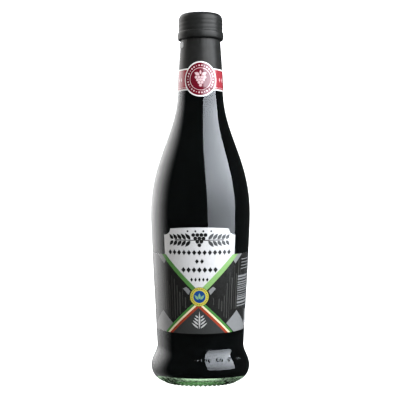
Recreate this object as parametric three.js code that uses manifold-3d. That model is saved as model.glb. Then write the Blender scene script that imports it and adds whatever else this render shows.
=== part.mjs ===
// Vinegar bottle of half a litre: waisted green glass with a knurled heel, filled with dark
// vinegar. A black capsule covers the cap and the upper neck, a paper band with a round
// medallion goes round the neck and a die-cut label wraps the body.
// Millimetres, +Z up, the front of the bottle faces -Y.
import * as THREE from "three";
import { mergeVertices } from "three/addons/utils/BufferGeometryUtils.js";
import Module from "manifold-3d";

const kernel = await Module();
kernel.setup();

// Driving dimensions of the glass
const SEGMENTS = 40;
const BASE_RADIUS = 35.4;
const BASE_Z = 11.8;
const BEARING_RADIUS = 24.6;
const WAIST_RADIUS = 31.2;
const WAIST_Z = 27;
const BODY_SLOPE = 0.04;
const SHOULDER_RADIUS = 35.8;
const SHOULDER_Z = 121;
const NECK_RADIUS = 16.35;
const NECK_Z = 207.5;
const NECK_SLOPE = 0.053;
const FINISH_RADIUS = 13.9;
const FINISH_Z = 246;
const MOUTH_Z = 257;
const BORE_RADIUS = 10;
const WALL = 3;
const LIP_ROUND = 1.2;
const PUNT_HEIGHT = 7;
const PUNT_RADIUS = 21;
const PUNT_FLAT = 0.6;
const FLOOR_RADIUS = 22.5;
const FLOOR_Z = 6.5;
const BASE_THICKNESS = 5;

// How far each wall curve keeps its direction at its lower and its upper end
const FLARE_PULL = [6.5, 5];
const BODY_PULL = [33, 14];
const SHOULDER_PULL = [39, 31];
const NECK_PULL = 20;

// Knurl bars under the heel and the row of moulded dots above it
const KNURL_COUNT = 48;
const KNURL_HEIGHT = 0.8;
const KNURL_WIDTH = 1.5;
const KNURL_FLAT = 2;
const KNURL_REACH = 7;
const DOT_RADIUS = 1.1;
const DOT_Z = 19.2;
const DOT_PITCH = 5.1;
const DOT_CODE = "1111011010011";
const DOT_FIRST_TURN = -5.1;

// Vinegar
const FILL_Z = 214;
const FILL_GAP = 0.3;

// Capsule
const HEIGHT = 265.1;
const CAP_RADIUS = 15.95;
const CAP_TOP_RADIUS = 12.7;
const CAP_EDGE = 4.6;
const BEAD_RADIUS = 16.7;
const BEAD_Z = 249.3;
const BEAD_HALF = 2.7;
const RIDGE_PITCH = 3.1;
const RIDGE_HEIGHT = 0.17;
const RIDGE_FADE = 0.8;
const RIDGE_LOW = BEAD_Z + BEAD_HALF;
const RIDGE_HIGH = HEIGHT - CAP_EDGE;
const FILM = 0.3;
const FILM_GAP = 0.12;
const SLEEVE_Z = 213.5;

// Neck band, with a medallion of the same paper
const PAPER = 0.2;
const PAPER_GAP = 0.1;
const BAND_LOW = 208.8;
const BAND_HIGH = 224.4;
const BAND_WRAP = 178;
const BAND_RAMP = 2;
const MEDALLION_Z = 216.6;
const MEDALLION_RADIUS = 12.6;

// Label, a wrap with a raised shield at the front, glued on a little turned
const LABEL_LOW = 37.6;
const LABEL_HIGH = 92.1;
const LABEL_ARC = 33.5;
const LABEL_WRAP = 171;
const LABEL_TURN = -1.3;
const SHIELD_HIGH = 111.4;
const SHIELD_ARCH = 1.1;
const SHIELD_TURN = 44.5;
const NOTCH_TURN = 9.5;
const NOTCH_DEPTH = 4.5;
const SIDE_CUT = 0.3;

const rad = THREE.MathUtils.degToRad;
const point = (radius, z) => new THREE.Vector2(radius, z);

// Curves of the outer wall from the widest part of the foot up to the finish under the cap
const WALL_CURVES = {
  flare: new THREE.CubicBezierCurve(
    point(BASE_RADIUS, BASE_Z),
    point(BASE_RADIUS, BASE_Z + FLARE_PULL[0]),
    point(WAIST_RADIUS - BODY_SLOPE * FLARE_PULL[1], WAIST_Z - FLARE_PULL[1]),
    point(WAIST_RADIUS, WAIST_Z),
  ),
  body: new THREE.CubicBezierCurve(
    point(WAIST_RADIUS, WAIST_Z),
    point(WAIST_RADIUS + BODY_SLOPE * BODY_PULL[0], WAIST_Z + BODY_PULL[0]),
    point(SHOULDER_RADIUS, SHOULDER_Z - BODY_PULL[1]),
    point(SHOULDER_RADIUS, SHOULDER_Z),
  ),
  shoulder: new THREE.CubicBezierCurve(
    point(SHOULDER_RADIUS, SHOULDER_Z),
    point(SHOULDER_RADIUS, SHOULDER_Z + SHOULDER_PULL[0]),
    point(NECK_RADIUS + NECK_SLOPE * SHOULDER_PULL[1], NECK_Z - SHOULDER_PULL[1]),
    point(NECK_RADIUS, NECK_Z),
  ),
  neck: new THREE.QuadraticBezierCurve(
    point(NECK_RADIUS, NECK_Z),
    point(NECK_RADIUS - NECK_SLOPE * NECK_PULL, NECK_Z + NECK_PULL),
    point(FINISH_RADIUS, FINISH_Z),
  ),
};

// Points of one wall curve, moved inwards by a depth
function wallPoints(name, steps, depth = 0) {
  const curve = WALL_CURVES[name];
  return Array.from({ length: steps + 1 }, (_, step) => {
    const at = curve.getPoint(step / steps);
    const along = curve.getTangent(step / steps);
    return at.add(point(-along.y, along.x).multiplyScalar(depth));
  });
}

// A quarter of an ellipse below its centre, from the bottom out to the side
function quarter(centreRadius, centreZ, width, depth, steps) {
  const curve = new THREE.EllipseCurve(centreRadius, centreZ, width, depth, -Math.PI / 2, 0);
  return curve.getPoints(steps);
}

// Chains of points, without the doubled ends where one chain goes on from another
function chain(...lists) {
  return lists.flat().filter((at, index, all) => index === 0 || at.distanceTo(all[index - 1]) > 0.02);
}

// Radius of a chain at a height
function radiusAt(outline, z) {
  const above = outline.findIndex((at) => at.y >= z);
  const high = outline[Math.max(above, 1)];
  const low = outline[Math.max(above, 1) - 1];
  return THREE.MathUtils.mapLinear(z, low.y, high.y, low.x, high.x);
}

const NECK_POINTS = wallPoints("neck", 4);
const OUTER_WALL = chain(
  wallPoints("flare", 7),
  wallPoints("body", 5),
  wallPoints("shoulder", 10),
  NECK_POINTS,
);
const glassRadius = (z) => radiusAt(OUTER_WALL, z);

// A solid turned round the bottle's axis
function turned(outline) {
  return new THREE.LatheGeometry(outline, SEGMENTS).rotateX(Math.PI / 2);
}

// A geometry with its shared corners joined, ready to be united with others
function solid(geometry) {
  const bare = geometry.clone();
  bare.deleteAttribute("normal");
  bare.deleteAttribute("uv");
  const welded = mergeVertices(bare, 1e-3);
  const corners = welded.index.array;
  const kept = [];
  for (let i = 0; i < corners.length; i += 3) {
    const [a, b, c] = corners.slice(i, i + 3);
    if (a !== b && b !== c && c !== a) kept.push(a, b, c);
  }
  return kernel.Manifold.ofMesh(
    new kernel.Mesh({
      numProp: 3,
      vertProperties: new Float32Array(welded.attributes.position.array),
      triVerts: new Uint32Array(kept),
    }),
  );
}

function geometryOf(manifold) {
  const mesh = manifold.getMesh();
  const geometry = new THREE.BufferGeometry();
  geometry.setAttribute("position", new THREE.BufferAttribute(mesh.vertProperties, 3));
  geometry.setIndex(new THREE.BufferAttribute(mesh.triVerts, 1));
  return geometry;
}

// Inside of the bottle from the axis up the wall to a height, drawn in by an inset
function cavity(inset, top) {
  const depth = WALL + inset;
  const floor = new THREE.QuadraticBezierCurve(
    point(0, PUNT_HEIGHT + BASE_THICKNESS + inset),
    point(FLOOR_RADIUS * PUNT_FLAT, PUNT_HEIGHT + BASE_THICKNESS + inset),
    point(FLOOR_RADIUS, FLOOR_Z + inset),
  );
  const corner = quarter(
    FLOOR_RADIUS,
    BASE_Z,
    BASE_RADIUS - depth - FLOOR_RADIUS,
    BASE_Z - FLOOR_Z - inset,
    3,
  );
  const walls = chain(
    wallPoints("flare", 5, depth),
    wallPoints("body", 4, depth),
    wallPoints("shoulder", 7, depth),
  );
  const bore = walls.at(-1);
  const topRadius = THREE.MathUtils.mapLinear(top, bore.y, MOUTH_Z, bore.x, BORE_RADIUS - inset);
  return chain(floor.getPoints(3), corner, walls, [point(topRadius, top)]);
}

function heelAt(radius) {
  const out = (radius - BEARING_RADIUS) / (BASE_RADIUS - BEARING_RADIUS);
  return BASE_Z - (BASE_Z - KNURL_HEIGHT) * Math.sqrt(1 - out * out);
}

// Glass before the knurl bars and the dots are added
function blownGlass() {
  const punt = new THREE.QuadraticBezierCurve(
    point(0, PUNT_HEIGHT),
    point(PUNT_RADIUS * PUNT_FLAT, PUNT_HEIGHT),
    point(PUNT_RADIUS, KNURL_HEIGHT),
  );
  const heel = quarter(BEARING_RADIUS, BASE_Z, BASE_RADIUS - BEARING_RADIUS, BASE_Z - KNURL_HEIGHT, 6);
  const lip = [
    point(FINISH_RADIUS, MOUTH_Z - LIP_ROUND),
    point(FINISH_RADIUS - LIP_ROUND, MOUTH_Z),
  ];
  const inside = cavity(0, MOUTH_Z).reverse();
  return turned(chain(punt.getPoints(3), heel, OUTER_WALL, lip, inside));
}

// One bar of the knurl, a flat foot that runs out along the heel and fades into it
function knurlBar() {
  const start = PUNT_RADIUS + KNURL_HEIGHT;
  const flat = BEARING_RADIUS + KNURL_FLAT;
  const end = BEARING_RADIUS + KNURL_REACH;
  const middle = (flat + end) / 2;
  const rooted = 1;
  const side = new THREE.Shape([
    point(start, 0),
    point(flat, 0),
    point(middle, heelAt(middle) - KNURL_HEIGHT),
    point(end, heelAt(end)),
    point(end - rooted, heelAt(end) + rooted),
    point(start, KNURL_HEIGHT + rooted),
  ]);
  const bar = new THREE.ExtrudeGeometry(side, { depth: KNURL_WIDTH, bevelEnabled: false });
  return bar.translate(0, 0, -KNURL_WIDTH / 2).rotateX(Math.PI / 2);
}

function bottleGlass() {
  const bar = solid(knurlBar());
  const bars = Array.from({ length: KNURL_COUNT }, (_, i) => {
    return bar.rotate([0, 0, (i * 360) / KNURL_COUNT - 90]);
  });
  const sunk = glassRadius(DOT_Z) - DOT_RADIUS / 2;
  const dots = [...DOT_CODE].flatMap((mark, i) => {
    if (mark === "0") return [];
    const turn = rad(DOT_FIRST_TURN + i * DOT_PITCH);
    const dot = new THREE.IcosahedronGeometry(DOT_RADIUS, 0);
    return [solid(dot.translate(sunk * Math.sin(turn), -sunk * Math.cos(turn), DOT_Z))];
  });
  return geometryOf(kernel.Manifold.union([solid(blownGlass()), ...bars, ...dots]));
}

function vinegar() {
  return turned(chain(cavity(FILL_GAP, FILL_Z), [point(0, FILL_Z)]));
}

// Capsule: the ridges of the cap's screw thread show through on its side
const sleeveRadius = (z) => glassRadius(z) + FILM_GAP + FILM;

function ridge(turn, z) {
  const inside = Math.min(z - RIDGE_LOW, RIDGE_HIGH - z);
  const fade = THREE.MathUtils.clamp(inside / RIDGE_FADE, 0, 1);
  return RIDGE_HEIGHT * fade * Math.cos((2 * Math.PI * z) / RIDGE_PITCH - turn);
}

function capsule() {
  const neck = NECK_POINTS.filter((at) => at.y > SLEEVE_Z);
  const inside = neck.map((at) => point(at.x + FILM_GAP, at.y));
  const cavityTop = [
    point(FINISH_RADIUS + FILM_GAP, MOUTH_Z + FILM_GAP),
    point(0, MOUTH_Z + FILM_GAP),
  ];
  const sleeve = neck.map((at) => point(at.x + FILM_GAP + FILM, at.y));
  const bead = new THREE.EllipseCurve(
    CAP_RADIUS, BEAD_Z, BEAD_RADIUS - CAP_RADIUS, BEAD_HALF, -Math.PI / 2, Math.PI / 2,
  );
  const ridges = new THREE.LineCurve(point(CAP_RADIUS, RIDGE_LOW), point(CAP_RADIUS, RIDGE_HIGH));
  const edge = new THREE.EllipseCurve(
    CAP_TOP_RADIUS, RIDGE_HIGH, CAP_RADIUS - CAP_TOP_RADIUS, CAP_EDGE, 0, Math.PI / 2,
  );
  const outline = chain(
    cavityTop.slice().reverse(),
    inside.slice().reverse(),
    [point(glassRadius(SLEEVE_Z) + FILM_GAP, SLEEVE_Z), point(sleeveRadius(SLEEVE_Z), SLEEVE_Z)],
    sleeve,
    bead.getPoints(6),
    ridges.getPoints(9),
    edge.getPoints(4),
    [point(0, HEIGHT)],
  );
  const geometry = turned(outline);
  const places = geometry.attributes.position;
  for (let i = 0; i < places.count; i += 1) {
    const at = new THREE.Vector3().fromBufferAttribute(places, i);
    const radius = Math.hypot(at.x, at.y);
    if (radius < CAP_RADIUS - 0.01) continue;
    const wider = (radius + ridge(Math.atan2(at.x, -at.y), at.z)) / radius;
    places.setXYZ(i, at.x * wider, at.y * wider, at.z);
  }
  return geometry;
}

// A sheet of paper round the axis: its columns are angles from the front in degrees, and each
// column runs from a lower to an upper edge over a backing of a given radius
function sheet(columns, lowAt, highAt, rows, backing) {
  const places = [];
  const corners = [];
  const stride = rows + 1;
  const back = columns.length * stride;
  for (const lift of [PAPER_GAP + PAPER, PAPER_GAP]) {
    for (const turn of columns) {
      for (let row = 0; row <= rows; row += 1) {
        const z = THREE.MathUtils.lerp(lowAt(turn), highAt(turn), row / rows);
        const radius = backing(z) + lift;
        places.push(radius * Math.sin(rad(turn)), -radius * Math.cos(rad(turn)), z);
      }
    }
  }
  const patch = (a, b, c, d) => corners.push(a, b, c, a, c, d);
  const last = columns.length - 1;
  for (let column = 0; column < last; column += 1) {
    const here = column * stride;
    const next = here + stride;
    for (let row = 0; row < rows; row += 1) {
      patch(here + row, next + row, next + row + 1, here + row + 1);
      patch(back + next + row, back + here + row, back + here + row + 1, back + next + row + 1);
    }
    patch(back + here, back + next, next, here);
    patch(here + rows, next + rows, back + next + rows, back + here + rows);
  }
  for (let row = 0; row < rows; row += 1) {
    const end = last * stride + row;
    patch(back + row, row, row + 1, back + row + 1);
    patch(end, back + end, back + end + 1, end + 1);
  }
  const geometry = new THREE.BufferGeometry();
  geometry.setAttribute("position", new THREE.Float32BufferAttribute(places, 3));
  geometry.setIndex(corners);
  return geometry;
}

// Columns on the glass's own facets that are within a wrap of a middle, and more of them at the
// angles given to both sides of the middle
function columnsWith(wrap, angles, middle = 0) {
  const step = 360 / SEGMENTS;
  const first = Math.ceil((middle - wrap) / step);
  const last = Math.floor((middle + wrap) / step);
  const even = Array.from({ length: last - first + 1 }, (_, i) => (first + i) * step);
  const extra = [wrap, ...angles].flatMap((angle) => [middle - angle, middle + angle]);
  return [...new Set([...even, ...extra])].sort((a, b) => a - b);
}

// The label is cut straight, so its edges climb away from the front where the body tapers
const BODY_TAPER = (SHOULDER_RADIUS - WAIST_RADIUS) / (SHOULDER_Z - WAIST_Z);
const labelRise = (turn) => (BODY_TAPER * LABEL_ARC * rad(turn) ** 2) / 2;

function shieldTop(turn) {
  const side = Math.abs(turn);
  if (side > SHIELD_TURN + SIDE_CUT / 2) return LABEL_HIGH;
  const inner = SHIELD_TURN - NOTCH_TURN;
  const arch = SHIELD_HIGH - SHIELD_ARCH * Math.min(1, side / inner) ** 2;
  if (side <= inner) return arch;
  const across = Math.max(0, SHIELD_TURN - side) / NOTCH_TURN;
  return arch - NOTCH_DEPTH * Math.sqrt(1 - across * across);
}

function frontLabel() {
  const inner = SHIELD_TURN - NOTCH_TURN;
  const notch = [0, 0.08, 0.25, 0.5, 1].map((share) => inner + NOTCH_TURN * share);
  const columns = columnsWith(LABEL_WRAP, [...notch, SHIELD_TURN + SIDE_CUT], LABEL_TURN);
  const lowAt = (turn) => LABEL_LOW + labelRise(turn - LABEL_TURN);
  const highAt = (turn) => shieldTop(turn - LABEL_TURN) + labelRise(turn - LABEL_TURN);
  return sheet(columns, lowAt, highAt, 6, glassRadius);
}

// The band lies on the capsule and, below the capsule's edge, on the glass
function bandBacking(z) {
  const onFilm = THREE.MathUtils.smoothstep(z, BAND_LOW, BAND_LOW + BAND_RAMP);
  return glassRadius(z) + onFilm * (FILM_GAP + FILM);
}

function medallionHalf(turn) {
  const across = rad(turn) * glassRadius(MEDALLION_Z);
  return Math.sqrt(Math.max(0, MEDALLION_RADIUS ** 2 - across ** 2));
}

function neckBand() {
  const halfTurn = THREE.MathUtils.radToDeg(MEDALLION_RADIUS / glassRadius(MEDALLION_Z));
  const bulge = [0.25, 0.5, 0.65, 0.75, 0.8].map((share) => halfTurn * share);
  const columns = columnsWith(BAND_WRAP, bulge);
  return sheet(
    columns,
    (turn) => Math.min(BAND_LOW, MEDALLION_Z - medallionHalf(turn)),
    (turn) => Math.max(BAND_HIGH, MEDALLION_Z + medallionHalf(turn)),
    5,
    bandBacking,
  );
}

function piece(name, geometry, color, roughness) {
  const material = new THREE.MeshStandardMaterial({ color, roughness, metalness: 0 });
  const mesh = new THREE.Mesh(geometry, material);
  mesh.name = name;
  return mesh;
}

const bottle = new THREE.Group();
bottle.name = "vinegar_bottle";
bottle.add(
  piece("bottle_glass", bottleGlass(), 0x12301c, 0.05),
  piece("vinegar", vinegar(), 0x140806, 0.1),
  piece("capsule", capsule(), 0x222220, 0.4),
  piece("neck_band", neckBand(), 0xb01c30, 0.4),
  piece("front_label", frontLabel(), 0xd8dad8, 0.45),
);

export default bottle;
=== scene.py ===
import math
import random

import bmesh
import bpy
import numpy as np
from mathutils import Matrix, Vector


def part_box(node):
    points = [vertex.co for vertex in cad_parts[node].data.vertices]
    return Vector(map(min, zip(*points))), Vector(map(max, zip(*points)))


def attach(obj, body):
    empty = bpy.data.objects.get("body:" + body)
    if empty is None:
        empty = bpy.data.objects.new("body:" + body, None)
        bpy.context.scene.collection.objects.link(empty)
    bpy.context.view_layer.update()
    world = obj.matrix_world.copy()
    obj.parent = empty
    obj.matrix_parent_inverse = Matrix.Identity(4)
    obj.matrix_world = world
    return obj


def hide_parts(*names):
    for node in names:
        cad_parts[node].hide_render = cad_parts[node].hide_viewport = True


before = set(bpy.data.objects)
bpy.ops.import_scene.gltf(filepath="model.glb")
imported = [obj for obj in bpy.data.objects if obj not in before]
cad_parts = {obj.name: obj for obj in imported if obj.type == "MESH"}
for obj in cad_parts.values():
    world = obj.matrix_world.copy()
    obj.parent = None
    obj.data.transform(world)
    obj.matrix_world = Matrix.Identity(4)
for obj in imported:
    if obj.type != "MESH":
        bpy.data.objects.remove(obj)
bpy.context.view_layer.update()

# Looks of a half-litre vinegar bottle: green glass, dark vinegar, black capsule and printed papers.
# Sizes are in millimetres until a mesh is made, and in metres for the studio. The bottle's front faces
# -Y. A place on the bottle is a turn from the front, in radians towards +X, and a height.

MM = 0.001
RANDOM = random.Random(7)

# What counts as one point, as a point on the axis and as a sharp edge
SAME_POINT = 1e-3
SAME_INK_POINT = 1e-4
ON_CUT = 1e-5
ON_AXIS = 1e-6
SHARP_EDGE = math.radians(35)

# Glass, as in the solid
BASE_RADIUS = 35.4
BASE_Z = 11.8
BEARING_RADIUS = 24.6
WAIST_RADIUS = 31.2
WAIST_Z = 27
BODY_SLOPE = 0.04
SHOULDER_RADIUS = 35.8
SHOULDER_Z = 121
NECK_RADIUS = 16.35
NECK_Z = 207.5
NECK_SLOPE = 0.053
FINISH_RADIUS = 13.9
FINISH_Z = 246
MOUTH_Z = 257
BORE_RADIUS = 10
WALL = 3
LIP_ROUND = 1.2
PUNT_HEIGHT = 7
PUNT_RADIUS = 21
PUNT_FLAT = 0.6
FLOOR_RADIUS = 22.5
FLOOR_Z = 6.5
BASE_THICKNESS = 5
FLARE_PULL = (6.5, 5)
BODY_PULL = (33, 14)
SHOULDER_PULL = (39, 31)
NECK_PULL = 20

# Knurl: short lumps under the heel, where the solid has longer bars
KNURL_COUNT = 48
KNURL_HEIGHT = 0.8
KNURL_RADIUS = 25.2
KNURL_HALF = 1.5
KNURL_SWELL = 1.5
KNURL_MIDDLE = 0.5
KNURL_SWING = 0.8
KNURL_COLUMNS = 10
HEEL_BREAK = -75

# Moulded dots above the heel, with more rows of points there
DOT_RADIUS = 1.1
DOT_HEIGHT = 0.5
DOT_STEEPNESS = 4
DOT_Z = 19.2
DOT_PITCH = math.radians(5.1)
DOT_FIRST_TURN = -DOT_PITCH
DOT_CODE = "1111011010011"
DOT_ROW_REACH = 1.1 * DOT_RADIUS
DOT_ROWS = 8
FLARE_ROWS = 20

# Vinegar
FILL_Z = 214
FILL_INTO_WALL = 0.15
FILL_COLUMNS = 128
MENISCUS = 1.2
MENISCUS_SINK = 0.6
MENISCUS_SHARES = (0.15, 0.4, 0.7, 1)
MIRROR_SLOPE = 0.93

# Capsule, with lower ridges than the solid has
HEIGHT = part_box("capsule")[1][2] / MM
SLEEVE_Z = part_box("capsule")[0][2] / MM
CAP_RADIUS = 15.95
CAP_TOP_RADIUS = 12.7
CAP_EDGE = 4.6
CAP_COLUMNS = 256
BEAD_RADIUS = 16.7
BEAD_Z = 249.3
BEAD_HALF = 2.7
BEAD_LOW = BEAD_Z - BEAD_HALF
RIDGE_PITCH = 3.1
RIDGE_HEIGHT = 0.07
RIDGE_FADE = 0.8
RIDGE_LOW = BEAD_Z + BEAD_HALF
RIDGE_HIGH = HEIGHT - CAP_EDGE
RIDGE_ROWS = 41
PLEAT_HEIGHT = 0.05
PLEAT_LENGTH = 9
PLEAT_GAP = 0.5
PLEAT_COUNTS = (23, 41)
SEAM_RADIUS = 10.8
SEAM_HALF = 0.4
SEAM_FLOOR_HALF = 0.2
SEAM_DEPTH = 0.15
TOP_RING_RADIUS = 5
FILM = 0.3
FILM_GAP = 0.12

# Tear tab under the bead
TAB_TURN = math.radians(-66)
TAB_Z = 242
TAB_HALF_WIDTH = 2.2
TAB_HALF_HEIGHT = 2.1
TAB_TAPER = 0.35
TAB_CURL = 1.0
TAB_GAP = 0.05
TAB_THICKNESS = 0.12
TAB_STEPS = 8

# Papers: how far their two faces stand off what they are glued to, and each film of ink on them
PAPER_LOW = 0.02
PAPER_HIGH = 0.12
INK = 0.012
INK_STEP = 1.0
GRAPE_PITCH = 2.05
GRAPE_ROW = 1.8
LEAF_STEPS = 8
LEAF_FULLNESS = 0.8

# Neck band, with a medallion that is narrower than in the solid
BAND_LOW = 208.8
BAND_HIGH = 224.4
BAND_MIDDLE = (BAND_LOW + BAND_HIGH) / 2
BAND_WRAP = math.radians(178)
BAND_RAMP = 2
BAND_MARGIN = 0.9
BAND_INSET = 0.2
BAND_COLUMNS = 60
BAND_ROWS = 50
MARK_COUNT = 6
MARK_FIRST = 15.5
MARK_PITCH = 3.2
MEDALLION_Z = 216.6
MEDALLION_RADIUS = 12.6
MEDALLION_NARROW = 0.945
MEDALLION_RIM = 0.9
MEDALLION_COLUMNS = 90
RIM_UNDER = 0.2
RIM_INSET = 0.1
PEARL_DISTANCE = 9.7
PEARL_RADII = (0.36, 0.62, 0.62)
LINE_RADIUS = 7.9
LINE_HALF = 0.2
BUNCH_RISE = 1.2
STALK_RISE = 2.4

# Label
LABEL_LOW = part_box("front_label")[0][2] / MM
LABEL_HIGH = 92.1
LABEL_ARC = 33.5
LABEL_ROWS = 30
BODY_TAPER = (SHOULDER_RADIUS - WAIST_RADIUS) / (SHOULDER_Z - WAIST_Z)
LABEL_WRAP = math.radians(171)
LABEL_TURN = math.radians(-1.3)
SHIELD_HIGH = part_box("front_label")[1][2] / MM
SHIELD_ARCH = 1.1
SHIELD_TURN = math.radians(44.5)
SHIELD_CUT = math.radians(0.03)
SHIELD_COLUMNS = 28
SIDE_COLUMNS = 70
NOTCH_TURN = math.radians(9.5)
NOTCH_DEPTH = 4.5
NOTCH_STEPS = 16
NOTCH_START = SHIELD_TURN - NOTCH_TURN

# Fields of the label's print, in millimetres along the paper and up
VEE_HALF = SHIELD_TURN * LABEL_ARC
VEE_APEX = 66
VEE_SLOPE = (LABEL_HIGH - VEE_APEX) / VEE_HALF
LEFT_ARM_EDGES = (-0.9, 3.3)
RIGHT_ARM_EDGES = (-1.8, 3.3)
LEG_MIDDLE = -0.6
LEG_APEX = 59.2
LEG_SLOPE = 0.90
LEG_EDGES = (-3.25, -0.85, 0.85, 3.15)
KITE = [(30.5, 52.5), (20.4, 44.2), (28.0, LABEL_LOW), (47, LABEL_LOW)]
FOLD_LOW = [(11.6, 68.9), (9.4, 70.3), (6.2, 67.5), (7.8, 64.6)]
FOLD_HIGH = [(34.1, LABEL_HIGH), (28.4, LABEL_HIGH), (24.9, 88.4), (27.2, 85.6)]
PRINT_HIGH = 88

# Upright stripes: their reach round the label, and the room left to the V, the legs and the kite
STRIPE_FIRST = 10
STRIPE_LAST = 98
STRIPE_PITCH = 2.1
STRIPE_WIDTHS = (0.35, 0.6, 0.9)
STRIPE_SHORTEST = 4
STRIPE_DROP = 16
STRIPE_RISE = 5
VEE_ROOM = 8
LEG_ROOM = 4.5
FOOT_ROOM = 0.4
KITE_SIDES = (24, 44)
KITE_ROOM = 1

# Seal, and the ornament of the shield and of the triangle under the seal
SEAL_Z = 63.4
SEAL_RADIUS = 6.7
SEAL_HEART = 4.3
SEAL_LINE = 0.25
SEAL_SPRIG_LOW = 2.6
TICK_DISTANCE = 5.45
TICK_RADIUS = 0.36
STUD_Z = 108.8
BUNCH_Z = 106.2
WREATH_Z = 102.6
WREATH_LENGTH = 34
WREATH_STEM = 0.7
WREATH_PAIRS = 5
WREATH_FIRST = 5.6
WREATH_PITCH = 3.1
WREATH_LEAF = 6.2
WREATH_TAPER = 0.3
SPROUT_Z = 41
SPROUT_HEIGHT = 12.5
SPROUT_PAIRS = 4
SPROUT_PITCH = 2.4
SPROUT_LEAF = 7.2
SPROUT_TAPER = 1.1

# Print on the sides of the label
SIDE_BARS_LOW = 55
SIDE_BARS_HIGH = 75.5
SIDE_BARS_MIDDLE = 41
SIDE_BARS_WIDTH = 21
SIDE_BAR_HEIGHTS = (0.5, 0.8, 1.1, 1.4)
SIDE_BAR_GAPS = (0.6, 0.8, 1.1)
SIDE_PRINT = (34, 56)
BACK_PRINT = (58, 96)
RULE_UNEVENNESS = 0.3
PANEL_MIDDLE = (54.5, 45.5)
PANEL_SIZE = (21, 12)
PANEL_PRINT_HALF = 8
PANEL_PRINT_HIGH = 49.5

# Studio in metres. A ramp is where it starts, where it ends and its values there
COVE_RADIUS = 2.6
COVE_HEIGHT = 3.2
COVE_BEND = 0.8
COVE_BEND_POINTS = 14
COVE_COLUMNS = 96
FLOOR_RINGS = (0.6, 1.2)
FLOOR_GLOW = (0.2, 1.4, 1.0, 1.2)
RIGHT_NEAR_LOW = (0.310, -1.014)
RIGHT_NEAR_HIGH = (0.184, -1.159)
RIGHT_FAR = (1.125, -0.08)
RIGHT_HEIGHTS = (-0.02, 1.50)
RIGHT_ALONG = (0, 1, 0.72, 1.2)
RIGHT_UPWARDS = (0, 0.48, 4.2, 9.9)
RIGHT_COLOUR = (0.86, 0.92, 1.0)
LEFT_NEAR = (-0.50, -0.15)
LEFT_FAR = (-0.45, 2.0)
LEFT_HEIGHTS = (-0.5, 1.1)
LEFT_ALONG = (0.01, 0.19, 0, 2.9)
LEFT_BEYOND = (0.3, 0.65, 1, 0.5)
LEFT_UPWARDS = (0.18, 0.44, 0.25, 1)
WHITE = (1.0, 1.0, 1.0)
EVEN = (0, 1, 1, 1)
WORLD_GLOW = 0.03

# Camera and picture, as the photograph has them
PHOTO_SIZE = 400
PHOTO_SCALE = 0.725
FOOT_ROW = 380.3
HORIZON_ROW = 210
AXIS_COLUMN = 200.5
CAMERA_DISTANCE = 725
CAMERA_CLIP = 0.01
SENSOR = 36


# Curves and outlines
def cubic(a, b, c, d, steps):
    t = np.linspace(0, 1, steps + 1)[:, None]
    a, b, c, d = map(np.array, (a, b, c, d))
    return a * (1 - t) ** 3 + 3 * b * t * (1 - t) ** 2 + 3 * c * t**2 * (1 - t) + d * t**3


def quadratic(a, b, c, steps):
    t = np.linspace(0, 1, steps + 1)[:, None]
    a, b, c = map(np.array, (a, b, c))
    return a * (1 - t) ** 2 + 2 * b * t * (1 - t) + c * t**2


def ellipse(centre, width, height, start, end, steps):
    angles = np.radians(np.linspace(start, end, steps + 1))
    return np.array(centre) + np.column_stack([width * np.cos(angles), height * np.sin(angles)])


def chain(*runs):
    """Runs of points as one outline, without the doubled ends where they meet."""
    points = np.vstack(runs)
    apart = np.linalg.norm(np.diff(points, axis=0), axis=1) > SAME_POINT
    return points[np.concatenate([[True], apart])]


def directions(points):
    along = np.gradient(points, axis=0)
    return along / np.linalg.norm(along, axis=1)[:, None]


def inwards(points, depth):
    """An outline that runs up the wall, moved into it by a depth."""
    along = directions(points)
    return points + depth * np.column_stack([-along[:, 1], along[:, 0]])


def flare(steps):
    return cubic(
        (BASE_RADIUS, BASE_Z),
        (BASE_RADIUS, BASE_Z + FLARE_PULL[0]),
        (WAIST_RADIUS - BODY_SLOPE * FLARE_PULL[1], WAIST_Z - FLARE_PULL[1]),
        (WAIST_RADIUS, WAIST_Z),
        steps,
    )


def body(steps):
    return cubic(
        (WAIST_RADIUS, WAIST_Z),
        (WAIST_RADIUS + BODY_SLOPE * BODY_PULL[0], WAIST_Z + BODY_PULL[0]),
        (SHOULDER_RADIUS, SHOULDER_Z - BODY_PULL[1]),
        (SHOULDER_RADIUS, SHOULDER_Z),
        steps,
    )


def shoulder(steps):
    return cubic(
        (SHOULDER_RADIUS, SHOULDER_Z),
        (SHOULDER_RADIUS, SHOULDER_Z + SHOULDER_PULL[0]),
        (NECK_RADIUS + NECK_SLOPE * SHOULDER_PULL[1], NECK_Z - SHOULDER_PULL[1]),
        (NECK_RADIUS, NECK_Z),
        steps,
    )


def neck(steps):
    return quadratic(
        (NECK_RADIUS, NECK_Z),
        (NECK_RADIUS - NECK_SLOPE * NECK_PULL, NECK_Z + NECK_PULL),
        (FINISH_RADIUS, FINISH_Z),
        steps,
    )


OUTER_WALL = chain(flare(steps=40), body(steps=12), shoulder(steps=26), neck(steps=8))


def glass_radius(z):
    return float(np.interp(z, OUTER_WALL[:, 1], OUTER_WALL[:, 0]))


def sleeve_radius(z):
    return glass_radius(z) + FILM_GAP + FILM


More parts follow.
